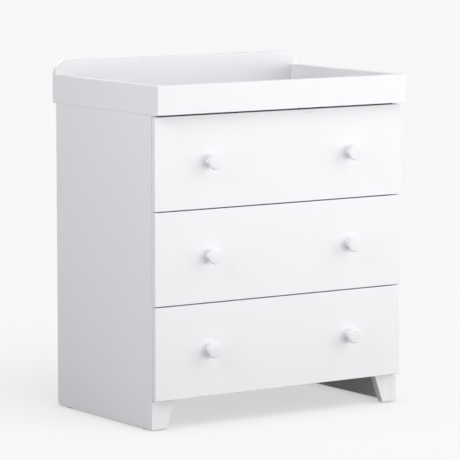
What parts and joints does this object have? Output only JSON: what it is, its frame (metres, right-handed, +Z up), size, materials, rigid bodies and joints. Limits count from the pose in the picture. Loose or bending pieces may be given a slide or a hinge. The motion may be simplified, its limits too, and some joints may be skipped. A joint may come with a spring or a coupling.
{
  "type": "changing dresser",
  "caption": "White nursery dresser with full-width drawers on roller runners, round knobs, tapered front feet and a railed changing tray with a taller round-cornered back.",
  "frame": {"origin": "on the floor, under the middle of the whole piece's box (knob tips to the rear of the back board)", "axes": "+Z up; drawers open towards -Y; +X is to the right of a person who faces the drawers"},
  "size_m": [0.786, 0.525, 0.925],
  "materials": {
    "white_lacquer": "smooth satin white lacquer on board",
    "knob_lacquer": "satin white lacquer on turned wood",
    "drawer_board": "white foiled board, matt",
    "hardboard": "thin fibreboard, white, matt",
    "runner_steel": "white powder coat, satin",
    "roller_plastic": "moulded nylon",
    "glide_plastic": "moulded plastic, matt",
    "zinc_fittings": "die-cast and plated, dull",
    "zinc_screws": "zinc plated",
    "beech_dowel": "plain beech"
  },
  "bodies": {
    "carcass": {"side_panel_left": "white_lacquer", "side_panel_right": "white_lacquer", "top_board": "white_lacquer", "rear_sheet": "hardboard", "base_rail_front": "white_lacquer", "base_rail_rear": "white_lacquer", "top_rail_rear": "white_lacquer", "foot_block_left": "white_lacquer", "foot_block_right": "white_lacquer", "floor_glides": "glide_plastic", "tray_front_rail": "white_lacquer", "tray_rail_left": "white_lacquer", "tray_rail_right": "white_lacquer", "tray_back_board": "white_lacquer", "cabinet_runner_left_1": "runner_steel", "cabinet_runner_left_2": "runner_steel", "cabinet_runner_left_3": "runner_steel", "cabinet_runner_right_1": "runner_steel", "cabinet_runner_right_2": "runner_steel", "cabinet_runner_right_3": "runner_steel", "cam_fittings": "zinc_fittings", "dowels": "beech_dowel", "tray_screws": "zinc_screws", "carcass_screws": "zinc_screws"},
    "drawer_1": {"drawer_front_1": "white_lacquer", "drawer_side_left_1": "drawer_board", "drawer_side_right_1": "drawer_board", "drawer_back_1": "drawer_board", "drawer_bottom_1": "hardboard", "knob_left_1": "knob_lacquer", "knob_right_1": "knob_lacquer", "drawer_runner_left_1": "runner_steel", "drawer_runner_right_1": "runner_steel", "drawer_fixings_1": "zinc_screws"},
    "cabinet_roller_pair_1": {"cabinet_rollers_1": "roller_plastic"},
    "drawer_roller_pair_1": {"drawer_rollers_1": "roller_plastic"},
    "drawer_2": {"drawer_front_2": "white_lacquer", "drawer_side_left_2": "drawer_board", "drawer_side_right_2": "drawer_board", "drawer_back_2": "drawer_board", "drawer_bottom_2": "hardboard", "knob_left_2": "knob_lacquer", "knob_right_2": "knob_lacquer", "drawer_runner_left_2": "runner_steel", "drawer_runner_right_2": "runner_steel", "drawer_fixings_2": "zinc_screws"},
    "cabinet_roller_pair_2": {"cabinet_rollers_2": "roller_plastic"},
    "drawer_roller_pair_2": {"drawer_rollers_2": "roller_plastic"},
    "drawer_3": {"drawer_front_3": "white_lacquer", "drawer_side_left_3": "drawer_board", "drawer_side_right_3": "drawer_board", "drawer_back_3": "drawer_board", "drawer_bottom_3": "hardboard", "knob_left_3": "knob_lacquer", "knob_right_3": "knob_lacquer", "drawer_runner_left_3": "runner_steel", "drawer_runner_right_3": "runner_steel", "drawer_fixings_3": "zinc_screws"},
    "cabinet_roller_pair_3": {"cabinet_rollers_3": "roller_plastic"},
    "drawer_roller_pair_3": {"drawer_rollers_3": "roller_plastic"}
  },
  "joints": [
    {"name": "drawer_1_slide", "type": "slide", "parent": "carcass", "child": "drawer_1", "axis": [0, -1, 0], "range_m": [0, 0.3]},
    {"name": "cabinet_rollers_1_spin", "type": "hinge", "parent": "carcass", "child": "cabinet_roller_pair_1", "pos_m": [0, -0.2025, 0.61255], "axis": [1, 0, 0], "range_deg": [0, 1720]},
    {"name": "drawer_rollers_1_spin", "type": "hinge", "parent": "drawer_1", "child": "drawer_roller_pair_1", "pos_m": [0, 0.17, 0.61075], "axis": [1, 0, 0], "range_deg": [0, 1720]},
    {"name": "drawer_2_slide", "type": "slide", "parent": "carcass", "child": "drawer_2", "axis": [0, -1, 0], "range_m": [0, 0.3]},
    {"name": "cabinet_rollers_2_spin", "type": "hinge", "parent": "carcass", "child": "cabinet_roller_pair_2", "pos_m": [0, -0.2025, 0.36905], "axis": [1, 0, 0], "range_deg": [0, 1720]},
    {"name": "drawer_rollers_2_spin", "type": "hinge", "parent": "drawer_2", "child": "drawer_roller_pair_2", "pos_m": [0, 0.17, 0.36725], "axis": [1, 0, 0], "range_deg": [0, 1720]},
    {"name": "drawer_3_slide", "type": "slide", "parent": "carcass", "child": "drawer_3", "axis": [0, -1, 0], "range_m": [0, 0.3]},
    {"name": "cabinet_rollers_3_spin", "type": "hinge", "parent": "carcass", "child": "cabinet_roller_pair_3", "pos_m": [0, -0.2025, 0.12555], "axis": [1, 0, 0], "range_deg": [0, 1720]},
    {"name": "drawer_rollers_3_spin", "type": "hinge", "parent": "drawer_3", "child": "drawer_roller_pair_3", "pos_m": [0, 0.17, 0.12375], "axis": [1, 0, 0], "range_deg": [0, 1720]}
  ],
  "couplings": [
    {"joint": "cabinet_rollers_1_spin", "follows": "drawer_1_slide", "rad_per_m": 100},
    {"joint": "drawer_rollers_1_spin", "follows": "drawer_1_slide", "rad_per_m": 100},
    {"joint": "cabinet_rollers_2_spin", "follows": "drawer_2_slide", "rad_per_m": 100},
    {"joint": "drawer_rollers_2_spin", "follows": "drawer_2_slide", "rad_per_m": 100},
    {"joint": "cabinet_rollers_3_spin", "follows": "drawer_3_slide", "rad_per_m": 100},
    {"joint": "drawer_rollers_3_spin", "follows": "drawer_3_slide", "rad_per_m": 100}
  ]
}
